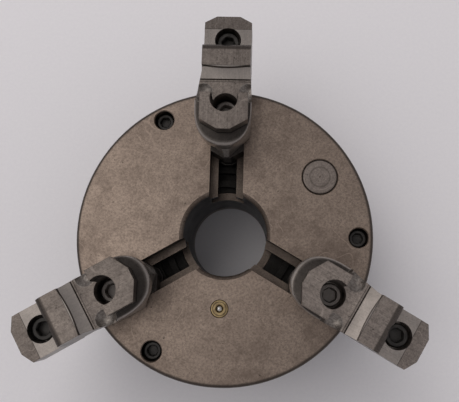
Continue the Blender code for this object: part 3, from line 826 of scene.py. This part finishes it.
def jaw_plan_shape():
    """A slender base, a wide oval collar under the tall step, and the bevelled cap above it."""
    bm = bmesh.new()
    base = jaw_plan(BASE_NOSE, BASE_NOSE_FLAT, 45, BASE_SIDES)
    collar = jaw_plan(COLLAR_NOSE, BASE_NOSE_FLAT, 60, COLLAR_SIDES, oval=True)
    ledge = jaw_plan(COLLAR_NOSE + 2.6 * MM, BASE_NOSE_FLAT, 60, LEDGE_SIDES, oval=True)
    cap = jaw_plan(JAW_NOSE + 0.5 * MM, JAW_NOSE_FLAT, 60, (CAP_HALF, CAP_HALF))
    levels = [(base, JAW_BASE - 5 * MM), (base, JAW_BASE + 4 * MM), (collar, CAP_Z - 7 * MM)]
    rounds = 5
    for step in range(rounds + 1):
        turn = math.pi / 2 * step / rounds
        mix = 1 - math.cos(turn)
        outline = [(a[0] + (b[0] - a[0]) * mix, a[1] + (b[1] - a[1]) * mix) for a, b in zip(collar, ledge)]
        levels.append((outline, CAP_Z - 2.5 * MM + 2.1 * MM * math.sin(turn)))
    levels += [(cap, CAP_Z), (cap, JAW_TOP + 5 * MM)]
    skin(bm, [plan(outline, z) for outline, z in levels])
    return bm


def grip_shape():
    """Fine grooves across the nose, for gripping small work."""
    bm = bmesh.new()
    front = COLLAR_NOSE - 2 * MM
    for step in range(GRIP_GROOVES):
        z = JAW_BASE + GRIP_SPACING * (step + 0.6)
        profile = [(front, z - 1.6 * MM), (BASE_NOSE + 0.7 * MM, z), (front, z + 1.6 * MM)]
        skin(bm, [[Vector((x, y, height)) for x, height in profile] for y in (-6 * MM, 6 * MM)])
    return bm


def screw_hole_shape():
    bm = bmesh.new()
    clearance = JAW_SCREW["shank"] + GAP
    hole = [
        (clearance, JAW_BASE - 3 * MM), (clearance, SEAT_Z),
        (COUNTERBORE, SEAT_Z), (COUNTERBORE, JAW_TOP + 3 * MM),
    ]
    for x in (INNER_SCREW, INNER_SCREW + JAW_SCREW_SPACING):
        turned(bm, hole, 72, centre=(x, 0))
    return bm


def groove_shape():
    bm = bmesh.new()
    middle = INNER_SCREW + JAW_SCREW_SPACING / 2
    near = middle - TONGUE_HALF - GAP
    far = middle + TONGUE_HALF + GAP
    high = MASTER_TOP + TONGUE_RISE + GAP
    low = JAW_BASE - 3 * MM
    outline = [(near, low), (near, high), (far, high), (far, low)]
    skin(bm, [[Vector((x, y, z)) for x, z in outline] for y in (-20 * MM, 20 * MM)])
    return bm


def pocket_shape():
    """Rounded hollows at the outer corners of the tall step."""
    bm = bmesh.new()
    for side in (-1, 1):
        centre = Matrix.Translation((POCKET_X, side * POCKET_Y, POCKET_Z))
        bmesh.ops.create_icosphere(bm, subdivisions=4, radius=POCKET_RADIUS, matrix=centre)
    return bm


def build_top_jaw(index, angle, material):
    jaw = jaw_blank(index)
    combine(jaw, jaw_plan_shape(), "INTERSECT")
    for shape in (screw_hole_shape, groove_shape, pocket_shape, grip_shape):
        combine(jaw, shape(), "DIFFERENCE")
    finish_piece(jaw, f"top_jaw_{index}", f"jaw_{index}", material, around(angle), 0.3 * MM)


# ---- screws and face fittings -----------------------------------------------------------------

def build_screw(name, node, body, size, place, seat, tip, material):
    bm = bmesh.new()
    bevel = 0.7 * MM
    top = seat + size["rise"]
    rings = [
        circle(size["shank"] - bevel, tip, SCREW_SIDES),
        circle(size["shank"], tip + bevel, SCREW_SIDES),
        circle(size["shank"], seat, SCREW_SIDES),
        circle(size["head"], seat, SCREW_SIDES),
        circle(size["head"], top - bevel, SCREW_SIDES),
        circle(size["head"] - bevel, top, SCREW_SIDES),
        circle(size["flats"] / 2 + 0.62 * MM, top, SCREW_SIDES),
        hexagon(size["flats"], top - 0.5 * MM, SCREW_SIDES),
        hexagon(size["flats"], top - size["depth"], SCREW_SIDES),
    ]
    skin(bm, rings)
    screw = make_object(name, bm)
    finish_piece(screw, node, body, material, place, 0.15 * MM)


def build_screws(oxide, rubbed_and_sheen):
    """The jaws' inner screws have light heads, a painted reflection."""
    for index, angle in enumerate(JAW_ANGLES, 1):
        pair = (("inner", INNER_SCREW, rubbed_and_sheen), ("outer", INNER_SCREW + JAW_SCREW_SPACING, oxide))
        for label, x, material in pair:
            node = f"jaw_screw_{label}_{index}"
            name = f"cap_screw_{label}_{index}"
            place = on_face(angle, x) @ around(20 * index)
            build_screw(name, node, f"jaw_{index}", JAW_SCREW, place, SEAT_Z + GAP, 55.5 * MM, material)
    for index, angle in enumerate(MOUNT_ANGLES, 1):
        place = on_face(angle, MOUNT_CIRCLE)
        name = f"long_screw_{index}"
        node = f"mounting_screw_{index}"
        build_screw(name, node, "body", MOUNT_SCREW, place, MOUNT_SEAT + GAP, MOUNT_TIP, oxide)


def build_plug(material):
    """A turned disc with one faint ring and a centre mark."""
    bm = bmesh.new()
    top = FACE_Z - 0.12 * MM
    low = FACE_Z - PLUG_DEPTH + GAP
    ring = 3.4 * MM
    profile = [
        (PLUG_RADIUS, low), (PLUG_RADIUS, top - 0.7 * MM), (PLUG_RADIUS - 0.35 * MM, top - 0.2 * MM),
        (PLUG_RADIUS - 0.9 * MM, top), (ring, top), (ring - 0.15 * MM, top - 0.07 * MM),
        (ring - 0.3 * MM, top), (0.6 * MM, top), (0.1 * MM, top - 0.5 * MM),
    ]
    turned(bm, profile, 96)
    plug = make_object("turned_plug", bm)
    place = on_face(PLUG_ANGLE, PLUG_CIRCLE)
    finish_piece(plug, "face_plug", "body", material, place, 0.04 * MM)


def build_oiler(brass, steel):
    place = on_face(OILER_ANGLE, OILER_CIRCLE)
    top = FACE_Z - 0.1 * MM
    low = FACE_Z - OILER_DEPTH + GAP
    wall = BALL_RADIUS + 0.3 * MM
    mouth = BALL_RADIUS - 0.3 * MM
    bm = bmesh.new()
    rim = arc((OILER_RADIUS - 0.5 * MM, top - 0.5 * MM), 0.5 * MM, 0, 90, 5)
    profile = [
        (OIL_HOLE, low), (OILER_RADIUS, low), *rim, (mouth + 0.4 * MM, top), (mouth, top - 0.4 * MM),
        (mouth, top - 0.9 * MM), (wall, top - 0.9 * MM), (wall, low + 1.0 * MM), (OIL_HOLE, low + 1.0 * MM),
    ]
    turned(bm, profile, 64, closed=True)
    oiler = make_object("oil_cup", bm)
    finish_piece(oiler, "oiler_body", "body", brass, place, 0.08 * MM)
    bm = bmesh.new()
    bmesh.ops.create_icosphere(bm, subdivisions=4, radius=BALL_RADIUS)
    ball = make_object("oil_ball", bm)
    seat = place @ Matrix.Translation((0, 0, FACE_Z - 2.6 * MM))
    finish_piece(ball, "oiler_ball", "oiler_ball_body", steel, seat, 0.02 * MM)


# ---- materials --------------------------------------------------------------------------------

class Surface:
    """A small helper that adds nodes to one material and links them."""

    def __init__(self, name, metallic, angle=0.0, reach=0.0):
        """The pattern's own Z axis stands on the face at this angle and reach from the centre."""
        self.material = bpy.data.materials.new(name)
        self.material.use_nodes = True
        self.tree = self.material.node_tree
        self.shader = self.tree.nodes["Principled BSDF"]
        self.shader.inputs["Metallic"].default_value = metallic
        mapping = self.node("ShaderNodeMapping")
        mapping.inputs["Rotation"].default_value = (0.0, 0.0, math.radians(-angle))
        mapping.inputs["Location"].default_value = (-reach, 0.0, 0.0)
        self.link(self.node("ShaderNodeTexCoord").outputs["Object"], mapping.inputs["Vector"])
        self.place = mapping.outputs["Vector"]
        parts = self.node("ShaderNodeSeparateXYZ")
        self.link(self.place, parts.inputs["Vector"])
        self.x, self.y, self.z = (parts.outputs[axis] for axis in "XYZ")
        square = self.math("ADD", self.math("POWER", self.x, 2.0), self.math("POWER", self.y, 2.0))
        self.radius = self.math("SQRT", square)
        normal = self.node("ShaderNodeSeparateXYZ")
        self.link(self.node("ShaderNodeNewGeometry").outputs["Normal"], normal.inputs["Vector"])
        self.upward = self.ranged(normal.outputs["Z"], 0.55, 0.9, 0.0, 1.0)

    def node(self, kind, **settings):
        made = self.tree.nodes.new(kind)
        for key, value in settings.items():
            setattr(made, key, value)
        return made

    def link(self, source, target):
        self.tree.links.new(source, target)

    def math(self, operation, first, second=0.0):
        made = self.node("ShaderNodeMath", operation=operation)
        for socket, value in zip(made.inputs, (first, second)):
            if isinstance(value, (int, float)):
                socket.default_value = value
            else:
                self.link(value, socket)
        return made.outputs["Value"]

    def noise(self, scale, detail=4.0, rough=0.55, stretch=(1, 1, 1)):
        mapping = self.node("ShaderNodeMapping")
        mapping.inputs["Scale"].default_value = stretch
        self.link(self.place, mapping.inputs["Vector"])
        made = self.node("ShaderNodeTexNoise")
        made.inputs["Scale"].default_value = scale
        made.inputs["Detail"].default_value = detail
        made.inputs["Roughness"].default_value = rough
        self.link(mapping.outputs["Vector"], made.inputs["Vector"])
        return made.outputs["Fac"]

    def rings(self, frequency):
        """Noise that only changes with the distance from the turning axis."""
        made = self.node("ShaderNodeTexNoise", noise_dimensions="1D")
        made.inputs["Detail"].default_value = 3.0
        self.link(self.math("MULTIPLY", self.radius, frequency), made.inputs["W"])
        return made.outputs["Fac"]

    def ranged(self, value, low, high, to_low, to_high):
        made = self.node("ShaderNodeMapRange")
        made.inputs["From Min"].default_value = low
        made.inputs["From Max"].default_value = high
        made.inputs["To Min"].default_value = to_low
        made.inputs["To Max"].default_value = to_high
        self.link(value, made.inputs["Value"])
        return made.outputs["Result"]

    def band(self, value, start, end, soft):
        """One between start and end, and fading to zero over the soft width on both sides."""
        rise = self.ranged(value, start - soft, start, 0.0, 1.0)
        fall = self.ranged(value, end, end + soft, 1.0, 0.0)
        return self.math("MULTIPLY", rise, fall)

    def mixed(self, factor, first, second):
        made = self.node("ShaderNodeMix", data_type="RGBA")
        self.link(factor, made.inputs["Factor"])
        for socket, value in ((made.inputs[6], first), (made.inputs[7], second)):
            if isinstance(value, tuple):
                socket.default_value = (*value, 1.0)
            else:
                self.link(value, socket)
        return made.outputs[2]

    def edges(self, width):
        """One on edges and zero on flats, by comparing the face's normal with a rounded one."""
        rounded_normal = self.node("ShaderNodeBevel", samples=4)
        rounded_normal.inputs["Radius"].default_value = width
        geometry = self.node("ShaderNodeNewGeometry")
        dot = self.node("ShaderNodeVectorMath", operation="DOT_PRODUCT")
        self.link(rounded_normal.outputs["Normal"], dot.inputs[0])
        self.link(geometry.outputs["Normal"], dot.inputs[1])
        return self.ranged(dot.outputs["Value"], 0.995, 0.90, 0.0, 1.0)

    def bump(self, heights, strength, distance):
        total = heights[0]
        for height in heights[1:]:
            total = self.math("ADD", total, height)
        made = self.node("ShaderNodeBump")
        made.inputs["Strength"].default_value = strength
        made.inputs["Distance"].default_value = distance
        self.link(total, made.inputs["Height"])
        self.link(made.outputs["Normal"], self.shader.inputs["Normal"])

    def finish(self, colour, roughness):
        self.link(colour, self.shader.inputs["Base Color"])
        self.link(roughness, self.shader.inputs["Roughness"])
        return self.material


def scaled(tone, factor):
    return tuple(min(1.0, factor * part) for part in tone)


def tool_marks(surface, lines):
    if lines == "turned":
        return surface.rings(2600.0)
    stretch = (70.0, 1900.0, 700.0) if lines == "along" else (1900.0, 70.0, 700.0)
    return surface.noise(1.0, 4.0, 0.6, stretch)


def worn_steel(name, clean, stain, roughness, lines, angle=0.0, reach=0.0, wear=0.4, shade=None, mottle=0.75):
    """Ground or turned steel with brown stain in patches, fine marks, pits and rubbed edges."""
    surface = Surface(name, 0.85, angle, reach)
    broad = surface.noise(16.0, 3.0, 0.55)
    patches = surface.noise(85.0, 8.0, 0.7)
    specks = surface.noise(1000.0, 5.0, 0.75)
    pits = surface.noise(520.0, 2.0, 0.5)
    marks = tool_marks(surface, lines)
    area = surface.ranged(broad, 0.4, 0.6, 0.35, 1.0)
    stained = surface.math("MULTIPLY", area, surface.ranged(patches, 0.4, 0.6, 0.0, mottle))
    colour = surface.mixed(stained, clean, stain)
    grain = surface.ranged(specks, 0.4, 0.62, 0.0, 0.62)
    colour = surface.mixed(grain, colour, scaled(stain, 0.5))
    streak = surface.ranged(marks, 0.4, 0.7, 0.0, 0.35)
    colour = surface.mixed(streak, colour, scaled(clean, 1.25))
    wander = surface.noise(48.0, 1.0, 0.4)
    line = surface.band(wander, 0.497, 0.503, 0.002)
    scratch = surface.math("MULTIPLY", line, surface.ranged(patches, 0.5, 0.6, 0.0, 0.3))
    colour = surface.mixed(scratch, colour, scaled(clean, 1.7))
    spots = surface.ranged(pits, 0.70, 0.76, 0.0, 0.75)
    colour = surface.mixed(spots, colour, scaled(stain, 0.2))
    rubbed_and_sheen = surface.math("MULTIPLY", surface.edges(0.45 * MM), wear)
    colour = surface.mixed(rubbed_and_sheen, colour, scaled(clean, 1.7))
    if shade:
        colour = shade(surface, colour)
    gloss = surface.ranged(patches, 0.3, 0.7, roughness - 0.05, roughness + 0.1)
    gloss = surface.math("ADD", gloss, surface.ranged(marks, 0.3, 0.7, -0.04, 0.04))
    heights = [
        surface.math("MULTIPLY", marks, 0.5),
        surface.math("MULTIPLY", specks, 0.35),
        surface.math("MULTIPLY", surface.ranged(pits, 0.66, 0.78, 0.0, 1.0), -0.5),
    ]
    surface.bump(heights, 0.45, 0.05 * MM)
    return surface.finish(colour, gloss)


def body_shade(surface, colour):
    """Painted shade, near black, below the face inside the rim, and a painted dark band of shade on the
    rounded rim.
    """
    # Painted shade: below the face the steel is darkened almost to black, less on faces that look up.
    inside = surface.ranged(surface.radius, BODY_RADIUS - 3.5 * MM, BODY_RADIUS - 2.5 * MM, 1.0, 0.0)
    below = surface.ranged(surface.z, FACE_Z - 2.2 * MM, FACE_Z - 0.6 * MM, 0.985, 0.0)
    below = surface.math("MULTIPLY", below, surface.ranged(surface.upward, 0.0, 1.0, 1.0, 0.62))
    colour = surface.mixed(surface.math("MULTIPLY", inside, below), colour, GRIME_AND_SHADE)
    # Painted shade: a dark band on the rounded rim stands in for its shade.
    rim = surface.ranged(surface.radius, BODY_RADIUS - 2.3 * MM, BODY_RADIUS - 1.2 * MM, 0.0, 0.88)
    return surface.mixed(rim, colour, OLD_OIL_AND_SHADE)


def plug_shade(surface, colour):
    """A faint turned ring, and old oil where the plug meets the face."""
    ring = surface.band(surface.radius, 0.55 * PLUG_RADIUS, 0.6 * PLUG_RADIUS, 0.3 * MM)
    colour = surface.mixed(surface.math("MULTIPLY", ring, 0.35), colour, OLD_OIL_AND_SHADE)
    seam = surface.ranged(surface.radius, PLUG_RADIUS - 0.8 * MM, PLUG_RADIUS, 0.0, 0.7)
    return surface.mixed(seam, colour, OLD_OIL_AND_SHADE)


def jaw_shade(surface, colour):
    """Painted shade on the sides, the rounded corner and the gap under the cap, painted light on the collar,
    bright rubbed bands, dark edges and lines, and a rough cast finish in the pockets.
    """
    bright = (0.46, 0.425, 0.395)
    # Painted light: the collar below the cap is made lighter, most towards the nose.
    below = surface.band(surface.z, FACE_Z, CAP_Z - 0.8 * MM, 0.4 * MM)
    collar = surface.math("MULTIPLY", below, surface.ranged(surface.x, COLLAR_CENTRE, COLLAR_END, 0.5, 0.0))
    colour = surface.mixed(collar, colour, bright)
    # Painted shade: faces that do not look up are darkened a little.
    painted_wall_shade = surface.ranged(surface.upward, 0.0, 1.0, 0.05, 0.0)
    colour = surface.mixed(painted_wall_shade, colour, OLD_OIL_AND_SHADE)
    outline = surface.math("MULTIPLY", surface.edges(0.5 * MM), 0.7)
    colour = surface.mixed(outline, colour, OLD_OIL_AND_SHADE)
    # Painted shadow: a dark band in the gap where the cap meets the ledge.
    seam = surface.band(surface.z, CAP_Z - 0.4 * MM, CAP_Z + 1.5 * MM, 0.5 * MM)
    colour = surface.mixed(surface.math("MULTIPLY", seam, 0.85), colour, GRIME_AND_SHADE)
    steps = surface.band(surface.x, SCRIBE_X + 0.4 * MM, CREASE - 0.6 * MM, 0.4 * MM)
    third = surface.band(surface.x, LAND_WALL + 0.3 * MM, SLOPE_START - 0.2 * MM, 0.2 * MM)
    steps = surface.math("MULTIPLY", surface.math("ADD", steps, third), surface.upward)
    colour = surface.mixed(surface.math("MULTIPLY", steps, 0.4), colour, bright)
    # Painted shade: a dark band on the rounded edge down to the land.
    corner = surface.band(surface.x, LAND_WALL - EDGE_ROUND + 0.4 * MM, LAND_WALL, 0.6 * MM)
    colour = surface.mixed(surface.math("MULTIPLY", corner, 0.75), colour, OLD_OIL_AND_SHADE)
    for line_x in (CREASE - 0.5 * MM, SLOPE_START, SCRIBE_X, SCRIBE_X - 1.1 * MM):
        line = surface.band(surface.x, line_x - 0.12 * MM, line_x + 0.12 * MM, 0.12 * MM)
        colour = surface.mixed(surface.math("MULTIPLY", line, 0.6), colour, GRIME_AND_SHADE)
    side = surface.math("ABSOLUTE", surface.y)
    offsets = ((surface.x, POCKET_X), (side, POCKET_Y), (surface.z, POCKET_Z))
    total = 0.0
    for value, centre in offsets:
        squared = surface.math("POWER", surface.math("SUBTRACT", value, centre), 2.0)
        total = surface.math("ADD", squared, total)
    reach = surface.math("SQRT", total)
    pocket = surface.ranged(reach, POCKET_RADIUS + 0.1 * MM, POCKET_RADIUS + 0.3 * MM, 0.7, 0.0)
    crumbs = surface.ranged(surface.noise(900.0, 3.0, 0.7), 0.4, 0.6, 0.0, 1.0)
    return surface.mixed(pocket, colour, surface.mixed(crumbs, (0.14, 0.122, 0.11), (0.30, 0.275, 0.25)))


def black_oxide(name, dark, light, roughness):
    surface = Surface(name, 0.75)
    patches = surface.noise(300.0, 4.0, 0.6)
    specks = surface.noise(1500.0, 2.0, 0.5)
    colour = surface.mixed(surface.ranged(patches, 0.4, 0.7, 0.0, 1.0), dark, light)
    rubbed_and_sheen = surface.math("MULTIPLY", surface.edges(0.3 * MM), 0.3)
    colour = surface.mixed(rubbed_and_sheen, colour, scaled(light, 2.5))
    surface.bump([specks], 0.3, 0.03 * MM)
    return surface.finish(colour, surface.ranged(patches, 0.3, 0.7, roughness, roughness + 0.15))


def worn_brass():
    surface = Surface("worn_brass", 0.9, OILER_ANGLE, OILER_CIRCLE)
    patches = surface.noise(500.0, 4.0, 0.6)
    marks = surface.rings(5000.0)
    stained = surface.ranged(patches, 0.4, 0.7, 0.0, 1.0)
    colour = surface.mixed(stained, (0.44, 0.33, 0.17), (0.22, 0.16, 0.09))
    ring = surface.band(surface.radius, OILER_RADIUS - 1.3 * MM, OILER_RADIUS - 0.9 * MM, 0.2 * MM)
    colour = surface.mixed(surface.math("MULTIPLY", ring, 0.6), colour, GRIME_AND_SHADE)
    surface.bump([marks, patches], 0.3, 0.03 * MM)
    return surface.finish(colour, surface.ranged(patches, 0.3, 0.7, 0.3, 0.5))


def bright_steel():
    surface = Surface("bright_steel_ball", 1.0)
    specks = surface.noise(1200.0, 3.0, 0.5)
    colour = surface.mixed(surface.ranged(specks, 0.4, 0.7, 0.0, 1.0), (0.62, 0.61, 0.59), (0.46, 0.44, 0.41))
    surface.bump([specks], 0.15, 0.01 * MM)
    return surface.finish(colour, surface.ranged(specks, 0.3, 0.7, 0.15, 0.25))


def paper():
    surface = Surface("pale_floor", 0.0)
    fibres = surface.noise(500.0, 5.0, 0.6)
    pale = surface.ranged(fibres, 0.3, 0.7, 0.0, 1.0)
    tone = surface.mixed(pale, (0.75, 0.735, 0.76), (0.78, 0.765, 0.785))
    return surface.finish(tone, surface.ranged(fibres, 0.3, 0.7, 0.75, 0.85))


# ---- stage ------------------------------------------------------------------------------------

def build_floor():
    bm = bmesh.new()
    bmesh.ops.create_grid(bm, x_segments=1, y_segments=1, size=3.0)
    floor = make_object("floor", bm)
    floor.location.z = -0.05 * MM
    floor.data.materials.append(paper())


def area_light(name, place, target, size, energy, colour):
    """A soft lamp that lights the floor but makes no highlight of its own on the steel."""
    light = bpy.data.lights.new(name, "AREA")
    light.shape = "DISK"
    light.size = size
    light.energy = energy
    light.color = colour
    lamp = bpy.data.objects.new(name, light)
    lamp.location = place
    lamp.rotation_euler = (Vector(target) - Vector(place)).to_track_quat("-Z", "Y").to_euler()
    lamp.visible_glossy = False
    bpy.context.scene.collection.objects.link(lamp)


def build_world():
    """Soft room light with one broad bright window, high on the left."""
    world = bpy.data.worlds.new("studio")
    bpy.context.scene.world = world
    world.use_nodes = True
    nodes = world.node_tree.nodes
    links = world.node_tree.links
    background = nodes["Background"]
    background.inputs["Strength"].default_value = 1.42
    place = nodes.new("ShaderNodeTexCoord")
    dot = nodes.new("ShaderNodeVectorMath")
    dot.operation = "DOT_PRODUCT"
    dot.inputs[1].default_value = Vector((-0.52, 0.10, 0.85)).normalized()
    links.new(place.outputs["Generated"], dot.inputs[0])
    ramp = nodes.new("ShaderNodeValToRGB")
    low, high = ramp.color_ramp.elements
    low.position = 0.0
    low.color = (0.27, 0.263, 0.272, 1)
    high.position = 0.99
    high.color = (1.0, 0.965, 0.945, 1)
    middle = ramp.color_ramp.elements.new(0.84)
    middle.color = (0.29, 0.283, 0.29, 1)
    links.new(dot.outputs["Value"], ramp.inputs["Fac"])
    links.new(ramp.outputs["Color"], background.inputs["Color"])


def build_camera():
    camera = bpy.data.cameras.new("camera")
    camera.lens = CAMERA_LENS
    camera.sensor_width = 36.0
    camera.shift_x, camera.shift_y = CAMERA_SHIFT
    eye = bpy.data.objects.new("camera", camera)
    eye.location = CAMERA_PLACE
    eye.rotation_mode = "XYZ"
    eye.rotation_euler = tuple(math.radians(angle) for angle in CAMERA_TURN)
    bpy.context.scene.collection.objects.link(eye)
    bpy.context.scene.camera = eye
    bpy.context.scene.view_settings.view_transform = "Standard"


def main():
    build_camera()
    build_world()
    build_floor()
    area_light("key", (-0.35, 0.95, 1.0), (0, 0.1, 0.0), 1.3, 8.0, (1.0, 0.97, 0.95))
    ground = worn_steel(
        "ground_face", (0.35, 0.277, 0.225), (0.15, 0.112, 0.09), 0.34, "turned",
        shade=body_shade, mottle=0.8)
    fine = worn_steel("turned_steel_worn", (0.30, 0.265, 0.24), (0.18, 0.15, 0.13), 0.42, "turned")
    smooth = worn_steel(
        "plug_steel", (0.30, 0.255, 0.225), (0.16, 0.133, 0.116), 0.45, "turned",
        PLUG_ANGLE, PLUG_CIRCLE, shade=plug_shade)
    # Near black: old oil on the scroll, and painted shade inside the body.
    thread = worn_steel(
        "oiled_and_shaded_gear_steel", (0.022, 0.020, 0.018), (0.010, 0.009, 0.008), 0.45, "turned", wear=0.2)
    oxide = black_oxide("worn_black_oxide", (0.035, 0.033, 0.031), (0.075, 0.07, 0.065), 0.38)
    # Painted reflection: a light tone for the inner screw heads.
    rubbed_and_sheen = black_oxide("screw_head_painted_reflection", (0.20, 0.18, 0.165), (0.30, 0.275, 0.255), 0.4)
    bright = bright_steel()
    build_body(ground)
    build_plate(fine)
    build_scroll(thread)
    for index, angle in enumerate(PINION_ANGLES, 1):
        build_pinion(index, angle, fine)
        build_pin(index, angle, bright)
    for index, angle in enumerate(JAW_ANGLES, 1):
        slide = worn_steel(
            f"slide_{index}", (0.06, 0.053, 0.048), (0.024, 0.021, 0.019), 0.4, "across", angle)
        # Painted light and shade: this jaw's steel is scaled lighter or darker.
        tone = JAW_LIGHT_AND_SHADE[index - 1]
        clean = scaled((0.27, 0.231, 0.204), tone)
        stain = scaled((0.11, 0.092, 0.081), tone)
        step = worn_steel(
            f"jaw_{index}_steel", clean, stain, 0.30, "along", angle, wear=0.1, shade=jaw_shade, mottle=0.95)
        build_master(index, angle, slide)
        build_top_jaw(index, angle, step)
    build_screws(oxide, rubbed_and_sheen)
    build_plug(smooth)
    build_oiler(worn_brass(), bright)


main()
